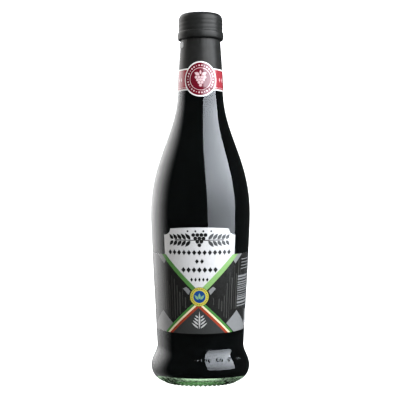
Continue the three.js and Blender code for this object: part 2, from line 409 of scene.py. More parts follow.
def cavity(grow, top):
    """Inside of the glass from the axis up to a height, grown into the wall."""
    depth = WALL - grow
    crown = PUNT_HEIGHT + BASE_THICKNESS - grow
    pull = (FLOOR_RADIUS * PUNT_FLAT, crown)
    floor = quadratic((0, crown), pull, (FLOOR_RADIUS, FLOOR_Z - grow), steps=6)
    corner_size = (BASE_RADIUS - depth - FLOOR_RADIUS, BASE_Z - FLOOR_Z + grow)
    corner = ellipse((FLOOR_RADIUS, BASE_Z), *corner_size, start=-90, end=0, steps=10)
    walls = inwards(chain(flare(steps=9), body(steps=5), shoulder(steps=13)), depth)
    bore = walls[-1]
    top_radius = np.interp(top, [bore[1], MOUTH_Z], [bore[0], BORE_RADIUS + grow])
    return chain(floor, corner, walls, [(top_radius, top)])


# Meshes
def mesh_object(name, points, faces, material):
    """A smooth object from points in metres."""
    mesh = bpy.data.meshes.new(name)
    mesh.from_pydata(points, [], faces)
    mesh.validate()
    mesh.shade_smooth()
    mesh.materials.append(material)
    obj = bpy.data.objects.new(name, mesh)
    bpy.context.scene.collection.objects.link(obj)
    return obj


def piece(name, points, faces, material):
    """A piece of the bottle from points in millimetres, smooth but for its sharp edges."""
    obj = mesh_object(name, [tuple(c * MM for c in p) for p in points], faces, material)
    obj.data.set_sharp_from_angle(angle=SHARP_EDGE)
    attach(obj, "root")
    return obj


def around(radius, turn, z):
    return (radius * math.sin(turn), -radius * math.cos(turn), z)


def even_turns(columns):
    return [2 * math.pi * column / columns for column in range(columns)]


def lathe(name, outline, turns, material, relief=None):
    """Turns an outline that starts and ends on the axis. relief(turn, row) moves a point outwards."""
    along = directions(outline)
    outwards = np.column_stack([along[:, 1], -along[:, 0]])
    columns = len(turns)
    points = []
    rings = []
    for row, (radius, z) in enumerate(outline):
        rings.append(len(points))
        if radius < ON_AXIS:
            points.append((0, 0, z))
            continue
        for turn in turns:
            height = relief(turn, row) if relief else 0
            out, up = outwards[row] * height
            points.append(around(radius + out, turn, z + up))
    faces = []
    for row in range(len(outline) - 1):
        low, high = rings[row], rings[row + 1]
        for column in range(columns):
            after = (column + 1) % columns
            if outline[row][0] < ON_AXIS:
                faces.append((low, high + after, high + column))
            elif outline[row + 1][0] < ON_AXIS:
                faces.append((low + column, low + after, high))
            else:
                faces.append((low + column, low + after, high + after, high + column))
    return piece(name, points, faces, material)


def slab(name, points, columns, rows, material):
    """A thin closed sheet from two grids of points, its outer face and then its inner one.

    Each grid has its columns one after another, and each column goes up by a number of rows.
    """
    stride = rows + 1
    back = columns * stride
    last = back - stride
    faces = []
    for here in range(0, last, stride):
        there = here + stride
        for row in range(rows):
            a, b = here + row, there + row
            faces.append((a, b, b + 1, a + 1))
            faces.append((back + b, back + a, back + a + 1, back + b + 1))
        faces.append((back + here, back + there, there, here))
        faces.append((here + rows, there + rows, back + there + rows, back + here + rows))
    for row in range(rows):
        faces.append((back + row, row, row + 1, back + row + 1))
        faces.append((last + row, back + last + row, back + last + row + 1, last + row + 1))
    return piece(name, points, faces, material)


class Paper:
    """Where a sheet lies: the arc it is drawn on, what backs it, and how it sits on the bottle.

    The middle of the sheet is turned from the front, and the sheet climbs with the square of the
    turn away from its middle, as a straight cut does on a tapered body. Ink on it is cut up at each
    step of height.
    """

    def __init__(self, slot, arc, backing, step_z, middle=0, climb=0):
        self.slot = slot
        self.arc = arc
        self.backing = backing
        self.step_z = step_z
        self.middle = middle
        self.climb = climb

    def place(self, u, z, lift):
        turn = u / self.arc
        z = z + self.climb * turn**2
        return around(self.backing(z) + lift, self.middle + turn, z)


def sheet(name, paper, turns, low_at, high_at, rows, material):
    """A sheet of paper round the axis, from a lower to an upper edge at each turn."""
    points = []
    for lift in (PAPER_HIGH, PAPER_LOW):
        for turn in turns:
            for share in np.linspace(0, 1, rows + 1):
                z = low_at(turn) + share * (high_at(turn) - low_at(turn))
                points.append(paper.place(turn * paper.arc, z, lift))
    return slab(name, points, len(turns), rows, material)


def cut_up(bm, step_z):
    """Cuts flat outlines into small faces that can follow the curve of the bottle."""
    for axis, step in ((0, INK_STEP), (1, step_z)):
        reach = [v.co[axis] for v in bm.verts]
        normal = Vector((1, 0, 0) if axis == 0 else (0, 1, 0))
        for line in range(math.ceil(min(reach) / step), math.floor(max(reach) / step) + 1):
            everything = bm.verts[:] + bm.edges[:] + bm.faces[:]
            at = normal * (line * step)
            bmesh.ops.bisect_plane(bm, geom=everything, dist=ON_CUT, plane_co=at, plane_no=normal)


def ink(name, outlines, paper, layer, material):
    """A closed film of ink with these outlines on a paper. A higher layer covers a lower one."""
    bm = bmesh.new()
    for outline in outlines:
        bm.faces.new([bm.verts.new((u, z, 0)) for u, z in outline])
    cut_up(bm, paper.step_z)
    bmesh.ops.remove_doubles(bm, verts=bm.verts[:], dist=SAME_INK_POINT)
    raised = bmesh.ops.extrude_face_region(bm, geom=bm.faces[:], use_keep_orig=True)
    for part in raised["geom"]:
        if isinstance(part, bmesh.types.BMVert):
            part.co.z = 1
    bmesh.ops.recalc_face_normals(bm, faces=bm.faces[:])
    bm.verts.index_update()
    lifts = (PAPER_HIGH - INK, PAPER_HIGH + layer * INK)
    points = [paper.place(v.co.x, v.co.y, lifts[round(v.co.z)]) for v in bm.verts]
    faces = [[v.index for v in face.verts] for face in bm.faces]
    bm.free()
    return piece(name, points, faces, material)


# Outlines of print
def spread(count, pitch):
    """Places along a row, evenly on both sides of its middle."""
    return [(i - (count - 1) / 2) * pitch for i in range(count)]


def disc(u, z, radius, sides):
    angles = np.linspace(0, 2 * math.pi, sides, endpoint=False)
    return [(u + radius * math.cos(a), z + radius * math.sin(a)) for a in angles]


def ring(u, z, inner, outer, sides=72):
    inside = disc(u, z, inner, sides)
    outside = disc(u, z, outer, sides)
    return [[inside[i - 1], outside[i - 1], outside[i], inside[i]] for i in range(sides)]


def pearls(z, distance, radii, count, sides):
    """Discs evenly round (0, z), which take their radii in turn."""
    discs = []
    for i, angle in enumerate(even_turns(count)):
        u = distance * math.cos(angle)
        discs.append(disc(u, z + distance * math.sin(angle), radii[i % len(radii)], sides))
    return discs


def bar(u, z, width, height):
    return [
        (u - width / 2, z - height / 2),
        (u + width / 2, z - height / 2),
        (u + width / 2, z + height / 2),
        (u - width / 2, z + height / 2),
    ]


def lozenge(u, z, width, height):
    return [(u - width / 2, z), (u, z - height / 2), (u + width / 2, z), (u, z + height / 2)]


def lozenges(z, count, pitch, width, height):
    return [lozenge(u, z, width, height) for u in spread(count, pitch)]


def leaf(u, z, start, end, width, angle):
    """A pointed leaf from one distance to another along a ray from (u, z), at an angle in degrees."""
    upper = []
    for i in range(LEAF_STEPS + 1):
        share = i / LEAF_STEPS
        half = width / 2 * math.sin(math.pi * share**LEAF_FULLNESS)
        upper.append((start + (end - start) * share, half))
    lower = [(x, -y) for x, y in reversed(upper[1:-1])]
    cosine, sine = math.cos(math.radians(angle)), math.sin(math.radians(angle))
    return [(u + cosine * x - sine * y, z + sine * x + cosine * y) for x, y in upper + lower]


def grapes(z, radius, rows):
    """A bunch of grapes that hangs from (0, z), each row one grape shorter."""
    return [
        disc(u, z - row * GRAPE_ROW * radius, radius, sides=16)
        for row, count in enumerate(range(rows, 0, -1))
        for u in spread(count, GRAPE_PITCH * radius)
    ]


def mirrored(outline, middle=0):
    return [(2 * middle - u, z) for u, z in reversed(outline)]


def both_sides(outlines, middle=0):
    return outlines + [mirrored(outline, middle) for outline in outlines]


# Materials
NOISE_RANGE = (0.3, 0.7)
MOTTLE = (0.9, 1.08)
GLOSS_SPREAD = (-0.04, 0.06)
# Painted light and shade on the vinegar's underside: lighter in the middle of the heel, darker towards
# its ends
HEEL_PAINTED_LIGHT = (0.014, 0.032, 0.30, -0.05)


def ramp(tree, value, start, end, low, high, kind="SMOOTHSTEP"):
    """A value that goes from low to high between two places."""
    node = tree.nodes.new("ShaderNodeMapRange")
    node.interpolation_type = kind
    for name, number in zip(("From Min", "From Max", "To Min", "To Max"), (start, end, low, high)):
        node.inputs[name].default_value = number
    tree.links.new(value, node.inputs["Value"])
    return node.outputs["Result"]


def axes(tree, coordinates):
    split = tree.nodes.new("ShaderNodeSeparateXYZ")
    tree.links.new(coordinates, split.inputs["Vector"])
    return split.outputs


def maths(tree, operation, first, second=None):
    node = tree.nodes.new("ShaderNodeMath")
    node.operation = operation
    tree.links.new(first, node.inputs[0])
    if second is not None:
        tree.links.new(second, node.inputs[1])
    return node.outputs["Value"]


class Shader:
    """A node material around one Principled shader."""

    def __init__(self, name):
        self.material = bpy.data.materials.new(name)
        self.material.use_nodes = True
        self.tree = self.material.node_tree
        self.principled = self.tree.nodes["Principled BSDF"]
        self.where = self.tree.nodes.new("ShaderNodeTexCoord").outputs["Object"]

    def set(self, **values):
        for name, value in values.items():
            self.principled.inputs[name.replace("_", " ")].default_value = value

    def link(self, output, name):
        self.tree.links.new(output, self.principled.inputs[name])

    def noise(self, scale, detail=3, stretch=(1, 1, 1)):
        mapping = self.tree.nodes.new("ShaderNodeMapping")
        mapping.inputs["Scale"].default_value = stretch
        texture = self.tree.nodes.new("ShaderNodeTexNoise")
        texture.inputs["Scale"].default_value = scale
        texture.inputs["Detail"].default_value = detail
        self.tree.links.new(self.where, mapping.inputs["Vector"])
        self.tree.links.new(mapping.outputs["Vector"], texture.inputs["Vector"])
        return texture.outputs["Fac"]

    def colours(self, factor, first, second):
        node = self.tree.nodes.new("ShaderNodeValToRGB")
        for stop, position, colour in zip(node.color_ramp.elements, NOISE_RANGE, (first, second)):
            stop.position = position
            stop.color = (*colour, 1)
        self.tree.links.new(factor, node.inputs["Fac"])
        self.link(node.outputs["Color"], "Base Color")

    def roughness(self, factor, low, high):
        self.link(ramp(self.tree, factor, *NOISE_RANGE, low, high, "LINEAR"), "Roughness")

    def bump(self, factor, strength, distance):
        node = self.tree.nodes.new("ShaderNodeBump")
        node.inputs["Strength"].default_value = strength
        node.inputs["Distance"].default_value = distance * MM
        self.tree.links.new(factor, node.inputs["Height"])
        self.link(node.outputs["Normal"], "Normal")

    def absorb(self, colour, density):
        volume = self.tree.nodes.new("ShaderNodeVolumeAbsorption")
        volume.inputs["Color"].default_value = (*colour, 1)
        volume.inputs["Density"].default_value = density
        output = self.tree.nodes["Material Output"]
        self.tree.links.new(volume.outputs["Volume"], output.inputs["Volume"])


def green_glass():
    shader = Shader("green_glass")
    shader.set(Transmission_Weight=1.0, IOR=1.5)
    shader.colours(shader.noise(scale=60), (0.90, 0.97, 0.90), (0.96, 1.0, 0.96))
    shader.roughness(shader.noise(scale=400), low=0.0, high=0.02)
    waves = shader.noise(scale=45, detail=1, stretch=(1, 1, 0.35))
    shader.bump(waves, strength=0.03, distance=0.25)
    shader.absorb(colour=(0.44, 0.70, 0.40), density=45)
    return shader.material


def dark_vinegar():
    shader = Shader("dark_vinegar")
    shader.set(IOR=1.1, Specular_IOR_Level=0.0)
    shader.colours(shader.noise(scale=40), (0.0013, 0.0015, 0.0017), (0.0017, 0.0019, 0.0022))
    shader.roughness(shader.noise(scale=90), low=0.04, high=0.08)
    return shader.material


def vinegar_underside():
    """Seen flatly through the heel, the underside of the vinegar throws all light back into the glass.
    Its mirror colour is painted lighter in the middle of the heel and darker towards the heel's ends:
    painted light and shade.
    """
    shader = Shader("vinegar_underside")
    shader.set(Metallic=1.0)
    side = maths(shader.tree, "ABSOLUTE", axes(shader.tree, shader.where)["X"])
    # Painted light: the mirror colour is lighter near the middle and darker towards the heel's ends
    middle = ramp(shader.tree, side, *HEEL_PAINTED_LIGHT)
    factor = maths(shader.tree, "ADD", shader.noise(scale=300), middle)
    shader.colours(factor, (0.20, 0.24, 0.19), (0.90, 0.97, 0.88))
    shader.roughness(shader.noise(scale=500), low=0.16, high=0.34)
    return shader.material


def black_film():
    shader = Shader("black_film")
    shader.set(IOR=1.45, Specular_IOR_Level=0.24, Specular_Tint=(1.0, 0.95, 0.89, 1))
    shader.colours(shader.noise(scale=220), (0.011, 0.011, 0.010), (0.016, 0.016, 0.015))
    shader.roughness(shader.noise(scale=500), low=0.32, high=0.40)
    shader.bump(shader.noise(scale=900, detail=4), strength=0.12, distance=0.06)
    return shader.material


# Pale grey film: the colour is a painted highlight, standing in for a glint on the tear tab
def pale_glint_film():
    shader = Shader("pale_glint_film")
    shader.colours(shader.noise(scale=500), (0.44, 0.44, 0.43), (0.58, 0.58, 0.57))
    shader.roughness(shader.noise(scale=900), low=0.2, high=0.3)
    return shader.material


def printed(name, colour, gloss=0.9, roughness=0.12, sheen=0.35):
    """Printed paper in one ink: the colour mottles a little and the fibres show in the gloss."""
    shader = Shader(name)
    shader.set(IOR=1.45, Specular_IOR_Level=gloss, Sheen_Weight=sheen, Sheen_Roughness=0.3)
    darker, lighter = [[min(1, c * share) for c in colour] for share in MOTTLE]
    shader.colours(shader.noise(scale=1400, detail=4), darker, lighter)
    smoother, rougher = [roughness + change for change in GLOSS_SPREAD]
    shader.roughness(shader.noise(scale=700), smoother, rougher)
    shader.bump(shader.noise(scale=2200, detail=4), strength=0.04, distance=0.03)
    return shader.material


def varnished(name, colour):
    """Ink of the neck band, under a clear varnish."""
    return printed(name, colour, gloss=1.0, roughness=0.16, sheen=0)


GLASS = green_glass()
VINEGAR = dark_vinegar()
UNDERSIDE = vinegar_underside()
FILM_BLACK = black_film()
FILM_PALE_GLINT = pale_glint_film()
PAPER_WHITE = printed("paper_white", (0.60, 0.58, 0.56))
PAPER_GLOSS = printed("paper_gloss", (0.80, 0.77, 0.74), gloss=0.8, roughness=0.2, sheen=0)
INK_BLACK = printed("ink_black", (0.010, 0.010, 0.009))
INK_DARK = printed("ink_dark", (0.0125, 0.0120, 0.0107))
INK_STRIPE = printed("ink_stripe", (0.045, 0.045, 0.040))
INK_CHARCOAL = printed("ink_charcoal", (0.036, 0.036, 0.034))
INK_GREY = printed("ink_grey", (0.210, 0.208, 0.202))
INK_SILVER = printed("ink_silver", (0.44, 0.43, 0.41))
INK_CREAM = printed("ink_cream", (0.72, 0.62, 0.40))
INK_GREEN = printed("ink_green", (0.060, 0.195, 0.042))
INK_FERN = printed("ink_fern", (0.080, 0.210, 0.050))
# Lighter copy of the ribbon green for the right arm of the V: painted light on the lit side
INK_LIME_PAINTED_LIGHT = printed("ink_lime_painted_light", (0.215, 0.380, 0.125))
INK_RED = printed("ink_red", (0.310, 0.042, 0.020))
INK_CRIMSON = varnished("ink_crimson", (0.130, 0.003, 0.012))
INK_SCARLET = varnished("ink_scarlet", (0.290, 0.030, 0.040))
INK_PINK = varnished("ink_pink", (0.620, 0.430, 0.430))
INK_GOLD = printed("ink_gold", (0.540, 0.460, 0.060))
INK_BLUE = printed("ink_blue", (0.008, 0.045, 0.200))
INK_AQUA = printed("ink_aqua", (0.170, 0.330, 0.180))


# Glass and vinegar
DOT_TURNS = [DOT_FIRST_TURN + i * DOT_PITCH for i, mark in enumerate(DOT_CODE) if mark == "1"]


def half_turned(turn):
    """The same turn, between half a turn to the left and half a turn to the right."""
    return (turn + math.pi) % (2 * math.pi) - math.pi


def glass_turns():
    """Ten columns to each lump of the knurl, and twice as many where the dots are."""
    columns = KNURL_COUNT * KNURL_COLUMNS
    step = 2 * math.pi / KNURL_COUNT / KNURL_COLUMNS
    turns = []
    for column in range(columns):
        turns.append(column * step)
        if DOT_TURNS[0] - DOT_PITCH < half_turned(column * step) < DOT_TURNS[-1] + DOT_PITCH:
            turns.append((column + 0.5) * step)
    return turns


def glass_outside():
    """Outside of the glass from the middle of the punt to the lip, with close rows at lumps and dots."""
    pull = (PUNT_RADIUS * PUNT_FLAT, PUNT_HEIGHT)
    punt = quadratic((0, PUNT_HEIGHT), pull, (PUNT_RADIUS, KNURL_HEIGHT), steps=5)
    flat = np.linspace((PUNT_RADIUS, KNURL_HEIGHT), (BEARING_RADIUS, KNURL_HEIGHT), num=8)
    heel_size = (BASE_RADIUS - BEARING_RADIUS, BASE_Z - KNURL_HEIGHT)
    heel_low = ellipse((BEARING_RADIUS, BASE_Z), *heel_size, start=-90, end=HEEL_BREAK, steps=6)
    heel_high = ellipse((BEARING_RADIUS, BASE_Z), *heel_size, start=HEEL_BREAK, end=0, steps=14)
    close = flare(FLARE_ROWS * DOT_ROWS)
    at_dots = np.abs(close[:, 1] - DOT_Z) < DOT_ROW_REACH
    spaced = np.arange(len(close)) % DOT_ROWS == 0
    rows = close[at_dots | spaced]
    walls = chain(body(steps=11), shoulder(steps=22), neck(steps=6))
    lip_centre = (FINISH_RADIUS - LIP_ROUND, MOUTH_Z - LIP_ROUND)
    lip = ellipse(lip_centre, LIP_ROUND, LIP_ROUND, start=0, end=90, steps=4)
    return chain(punt, flat, heel_low, heel_high, rows, walls, lip)


def knurl(turn, radius):
    """Height of the round lumps that the bottle stands on, which are cut flat at the top."""
    across = np.clip(KNURL_MIDDLE + KNURL_SWING * math.cos(KNURL_COUNT * turn), 0, 1)
    share = (radius - KNURL_RADIUS) / KNURL_HALF
    return KNURL_HEIGHT * across * np.clip(KNURL_SWELL * (1 - share**2), 0, 1)


def dot(turn, radius, z):
    """Height of the moulded dots, each with a flat top and a steep edge."""
    away = min(abs(half_turned(turn - at)) for at in DOT_TURNS)
    share = math.hypot(away * radius, z - DOT_Z) / DOT_RADIUS
    return DOT_HEIGHT * (1 - share**DOT_STEEPNESS) if share < 1 else 0


def glass_body():
    outside = glass_outside()
    outline = chain(outside, cavity(0, MOUTH_Z)[::-1])

    def relief(turn, row):
        radius, z = outline[row]
        if row >= len(outside):
            return 0
        if z < BASE_Z and radius > PUNT_RADIUS:
            return knurl(turn, radius)
        if abs(z - DOT_Z) < DOT_RADIUS:
            return dot(turn, radius, z)
        return 0

    glass = lathe("glass_body", outline, glass_turns(), GLASS, relief)
    # Light goes through the glass without a shadow
    glass.visible_shadow = False
    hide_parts("bottle_glass")


def vinegar_fill():
    wetted = cavity(FILL_INTO_WALL, FILL_Z)
    rim = wetted[-1][0]
    surface = []
    for share in MENISCUS_SHARES:
        sink = MENISCUS * math.sqrt(1 - (1 - share) ** 2) * MENISCUS_SINK
        surface.append((rim - MENISCUS * share, FILL_Z - sink))
    outline = chain(wetted, surface, [(0, surface[-1][1])])
    fill = lathe("vinegar_fill", outline, even_turns(FILL_COLUMNS), VINEGAR)
    fill.data.materials.append(UNDERSIDE)
    for face in fill.data.polygons:
        face.material_index = int(face.normal.z < -MIRROR_SLOPE)
    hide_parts("vinegar")


# Capsule
def ridge(turn, z):
    """Height of the cap's screw thread where it shows through the film."""
    inside = min(z - RIDGE_LOW, RIDGE_HIGH - z)
    fade = np.clip(inside / RIDGE_FADE, 0, 1)
    return RIDGE_HEIGHT * fade * math.cos(2 * math.pi * z / RIDGE_PITCH - turn)


def pleat(turn, z):
    """Small upright pleats where the film shrinks in under the bead."""
    fade = np.clip(1 - (BEAD_LOW - z) / PLEAT_LENGTH, 0, 1) ** 2
    few, many = PLEAT_COUNTS
    return PLEAT_HEIGHT * fade * (math.sin(few * turn) + math.sin(many * turn + 1))


def capsule_film():
    rows = neck(steps=40)
    rows = rows[rows[:, 1] > SLEEVE_Z]
    inside = chain([(glass_radius(SLEEVE_Z) + FILM_GAP, SLEEVE_Z)], rows + (FILM_GAP, 0))
    cavity_top = [(FINISH_RADIUS + FILM_GAP, MOUTH_Z + FILM_GAP), (0, MOUTH_Z + FILM_GAP)]
    sleeve = chain([(sleeve_radius(SLEEVE_Z), SLEEVE_Z)], rows + (FILM_GAP + FILM, 0))
    bead_size = (BEAD_RADIUS - CAP_RADIUS, BEAD_HALF)
    bead = ellipse((CAP_RADIUS, BEAD_Z), *bead_size, start=-90, end=90, steps=16)
    ridges = np.linspace((CAP_RADIUS, RIDGE_LOW), (CAP_RADIUS, RIDGE_HIGH), RIDGE_ROWS)
    edge_size = (CAP_RADIUS - CAP_TOP_RADIUS, CAP_EDGE)
    edge = ellipse((CAP_TOP_RADIUS, RIDGE_HIGH), *edge_size, start=0, end=90, steps=12)
    seam = [
        (SEAM_RADIUS + SEAM_HALF, HEIGHT),
        (SEAM_RADIUS + SEAM_FLOOR_HALF, HEIGHT - SEAM_DEPTH),
        (SEAM_RADIUS - SEAM_FLOOR_HALF, HEIGHT - SEAM_DEPTH),
        (SEAM_RADIUS - SEAM_HALF, HEIGHT),
    ]
    middle = [(TOP_RING_RADIUS, HEIGHT), (0, HEIGHT)]
    outline = chain(cavity_top[::-1], inside[::-1], sleeve, bead, ridges, edge, seam, middle)
    first_outer = len(cavity_top) + len(inside)

    def relief(turn, row):
        radius, z = outline[row]
        if row < first_outer or radius < CAP_TOP_RADIUS - SAME_POINT:
            return 0
        if z < BEAD_LOW - PLEAT_GAP:
            return pleat(turn, z)
        return ridge(turn, z)

    film = lathe("capsule_film", outline, even_turns(CAP_COLUMNS), FILM_BLACK, relief)
    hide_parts("capsule")


def tear_tab():
    """The end of the tear strip, a curled tab of film under the bead on the left. Its pale colour is a
    painted highlight that stands in for a glint.
    """
    points = []
    for lift in (TAB_THICKNESS, 0):
        for across in np.linspace(-1, 1, TAB_STEPS + 1):
            for up in np.linspace(-1, 1, TAB_STEPS + 1):
                half = TAB_HALF_WIDTH * (1 - TAB_TAPER * abs(up) ** 3)
                z = TAB_Z + TAB_HALF_HEIGHT * up
                curl = TAB_CURL * (0.5 - 0.5 * across)
                radius = sleeve_radius(z) + TAB_GAP + curl + lift
                points.append(around(radius, TAB_TURN + half * across / radius, z))
    slab("tear_tab", points, TAB_STEPS + 1, TAB_STEPS, FILM_PALE_GLINT)


# Neck band
BAND_ARC = glass_radius(MEDALLION_Z)


def band_backing(z):
    share = np.clip((z - BAND_LOW) / BAND_RAMP, 0, 1)
    on_film = share**2 * (3 - 2 * share)
    return glass_radius(z) + on_film * (FILM_GAP + FILM)


BAND = Paper("red_paper", BAND_ARC, band_backing, step_z=0.5)


def medallion_half(turn):
    return math.sqrt(max(0, MEDALLION_RADIUS**2 - (turn * BAND_ARC / MEDALLION_NARROW) ** 2))


def narrowed(outlines):
    return [[(u * MEDALLION_NARROW, z) for u, z in outline] for outline in outlines]


def band_paper():
    fine = MEDALLION_RADIUS * MEDALLION_NARROW / BAND_ARC
    turns = np.concatenate([
        np.linspace(-BAND_WRAP, -fine, BAND_COLUMNS, endpoint=False),
        np.linspace(-fine, fine, MEDALLION_COLUMNS, endpoint=False),
        np.linspace(fine, BAND_WRAP, BAND_COLUMNS + 1),
    ])
    band = sheet(
        "band_paper",
        BAND,
        turns,
        lambda turn: min(BAND_LOW, MEDALLION_Z - medallion_half(turn)),
        lambda turn: max(BAND_HIGH, MEDALLION_Z + medallion_half(turn)),
        BAND_ROWS,
        PAPER_GLOSS,
    )
    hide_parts("neck_band")


def band_field():
    width = 2 * (BAND_WRAP * BAND_ARC - BAND_INSET)
    height = BAND_HIGH - BAND_LOW - 2 * BAND_MARGIN
    ink("band_scarlet", [bar(0, BAND_MIDDLE, width, height)], BAND, 1, INK_SCARLET)


def medallion():
    """A white rim round a crimson disc, and on it pearls, a line, a bunch of grapes and its leaves."""
    face = MEDALLION_RADIUS - MEDALLION_RIM
    rim = ring(0, MEDALLION_Z, face - RIM_UNDER, MEDALLION_RADIUS - RIM_INSET)
    ink("medallion_white", narrowed(rim), BAND, 2, PAPER_GLOSS)
    ink("medallion_crimson", narrowed([disc(0, MEDALLION_Z, face, sides=72)]), BAND, 3, INK_CRIMSON)
    shapes = pearls(MEDALLION_Z, PEARL_DISTANCE, PEARL_RADII, count=30, sides=14)
    shapes += grapes(MEDALLION_Z + BUNCH_RISE, radius=1.05, rows=4)
    stalk = MEDALLION_Z + STALK_RISE
    shapes += [leaf(0, stalk, start=0.8, end=5.0, width=2.4, angle=angle) for angle in (25, 155)]
    shapes += [leaf(0, stalk, start=0.8, end=4.2, width=1.4, angle=90)]
    shapes += ring(0, MEDALLION_Z, LINE_RADIUS - LINE_HALF, LINE_RADIUS + LINE_HALF)
    ink("medallion_pink", narrowed(shapes), BAND, 4, INK_PINK)


def band_marks():
    places = [MARK_FIRST + MARK_PITCH * i for i in range(MARK_COUNT)]
    marks = [lozenge(u, BAND_MIDDLE, width=1.3, height=3.4) for u in places]
    ink("band_marks", both_sides(marks), BAND, 2, INK_PINK)


# Label
LABEL_CLIMB = BODY_TAPER * LABEL_ARC / 2
LABEL = Paper("label_paper", LABEL_ARC, glass_radius, step_z=3.0, middle=LABEL_TURN, climb=LABEL_CLIMB)


def label_top(turn):
    side = abs(turn)
    if side > SHIELD_TURN:
        return LABEL_HIGH
    arch = SHIELD_HIGH - SHIELD_ARCH * min(1, side / NOTCH_START) ** 2
    if side <= NOTCH_START:
        return arch
    across = (SHIELD_TURN - side) / NOTCH_TURN
    return arch - NOTCH_DEPTH * math.sqrt(1 - across**2)


def label_paper():
    notch = [NOTCH_START + NOTCH_TURN * (i / NOTCH_STEPS) ** 2 for i in range(NOTCH_STEPS + 1)]
    half = [
        *np.linspace(0, NOTCH_START, SHIELD_COLUMNS, endpoint=False),
        *notch,
        *np.linspace(SHIELD_TURN + SHIELD_CUT, LABEL_WRAP, SIDE_COLUMNS),
    ]
    turns = [-turn for turn in reversed(half[1:])] + half
    label = sheet("label_paper", LABEL, turns, lambda turn: LABEL_LOW, label_top, LABEL_ROWS, PAPER_WHITE)
    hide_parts("front_label")


def leg_end(edge):
    """How far from the middle an edge of a leg meets the foot of the label."""
    return (LEG_APEX + edge - LABEL_LOW) / LEG_SLOPE


def leg(low, high):
    """The right one of two ribbons that run down from the seal, between two heights on the axis."""
    return [
        (LEG_MIDDLE, LEG_APEX + low),
        (LEG_MIDDLE + leg_end(low), LABEL_LOW),
        (LEG_MIDDLE + leg_end(high), LABEL_LOW),
        (LEG_MIDDLE, LEG_APEX + high),
    ]


def vee(start, end):
    """The right arm of a V-shaped stripe outside the shield's point."""
    return [
        (VEE_HALF + start, LABEL_HIGH),
        (0, VEE_APEX - start * VEE_SLOPE),
        (0, VEE_APEX - end * VEE_SLOPE),
        (VEE_HALF + end, LABEL_HIGH),
    ]


def label_fields():
    edge = LABEL_WRAP * LABEL_ARC
    dark = [(edge, LABEL_LOW), (edge, LABEL_HIGH), (VEE_HALF, LABEL_HIGH), (0, VEE_APEX), (0, LABEL_LOW)]
    foot = leg_end(LEG_EDGES[0])
    triangle = [
        (LEG_MIDDLE - foot, LABEL_LOW),
        (LEG_MIDDLE + foot, LABEL_LOW),
        (LEG_MIDDLE, LEG_APEX + LEG_EDGES[0]),
    ]
    ink("field_dark", both_sides([dark]), LABEL, 1, INK_DARK)
    ink("field_grey", both_sides([KITE, FOLD_LOW, FOLD_HIGH]), LABEL, 3, INK_GREY)
    ink("field_charcoal", [triangle], LABEL, 2, INK_CHARCOAL)


def label_ribbons():
    red, cream, green = zip(LEG_EDGES, LEG_EDGES[1:])
    ink("ribbon_fern", [mirrored(vee(*LEFT_ARM_EDGES))], LABEL, 4, INK_FERN)
    # The right arm's lighter green is painted light, where the left arm is printed in the darker green
    ink("ribbon_lime_painted_light", [vee(*RIGHT_ARM_EDGES)], LABEL, 4, INK_LIME_PAINTED_LIGHT)
    ink("ribbon_green", both_sides([leg(*green)], LEG_MIDDLE), LABEL, 4, INK_GREEN)
    ink("ribbon_cream", both_sides([leg(*cream)], LEG_MIDDLE), LABEL, 4, INK_CREAM)
    ink("ribbon_red", both_sides([leg(*red)], LEG_MIDDLE), LABEL, 4, INK_RED)


def label_stripes():
    """Faint upright stripes of many heights on the dark fields."""
    stripes = []
    for side in (-1, 1):
        for u in np.arange(STRIPE_FIRST, STRIPE_LAST, STRIPE_PITCH):
            under_vee = VEE_APEX - VEE_ROOM + VEE_SLOPE * u
            over_leg = LEG_APEX + LEG_ROOM - LEG_SLOPE * u
            high = min(PRINT_HIGH, under_vee) - RANDOM.uniform(0, STRIPE_DROP)
            low = max(LABEL_LOW + FOOT_ROOM, over_leg) + RANDOM.uniform(0, STRIPE_RISE)
            if KITE_SIDES[0] < u < KITE_SIDES[1]:
                low = max(low, KITE[0][1] + KITE_ROOM)
            width = RANDOM.choice(STRIPE_WIDTHS)
            if high - low > STRIPE_SHORTEST:
                stripes.append(bar(side * u, (low + high) / 2, width, high - low))
    ink("field_stripes", stripes, LABEL, 2, INK_STRIPE)


def label_seal():
    ink("seal_gold", [disc(0, SEAL_Z, SEAL_RADIUS, sides=64)], LABEL, 5, INK_GOLD)
    ink("seal_blue", [disc(0, SEAL_Z, SEAL_HEART, sides=48)], LABEL, 6, INK_BLUE)
    ink("seal_line", ring(0, SEAL_Z, SEAL_RADIUS - SEAL_LINE, SEAL_RADIUS), LABEL, 6, INK_CHARCOAL)
    ticks = pearls(SEAL_Z, TICK_DISTANCE, [TICK_RADIUS], count=28, sides=8)
    ink("seal_ticks", ticks, LABEL, 6, INK_CHARCOAL)
    low = SEAL_Z - SEAL_SPRIG_LOW
    sprig = [leaf(0, low, start=1.0, end=5.2, width=1.7, angle=angle) for angle in (48, 90, 132)]
    ink("seal_sprig", sprig, LABEL, 7, INK_AQUA)


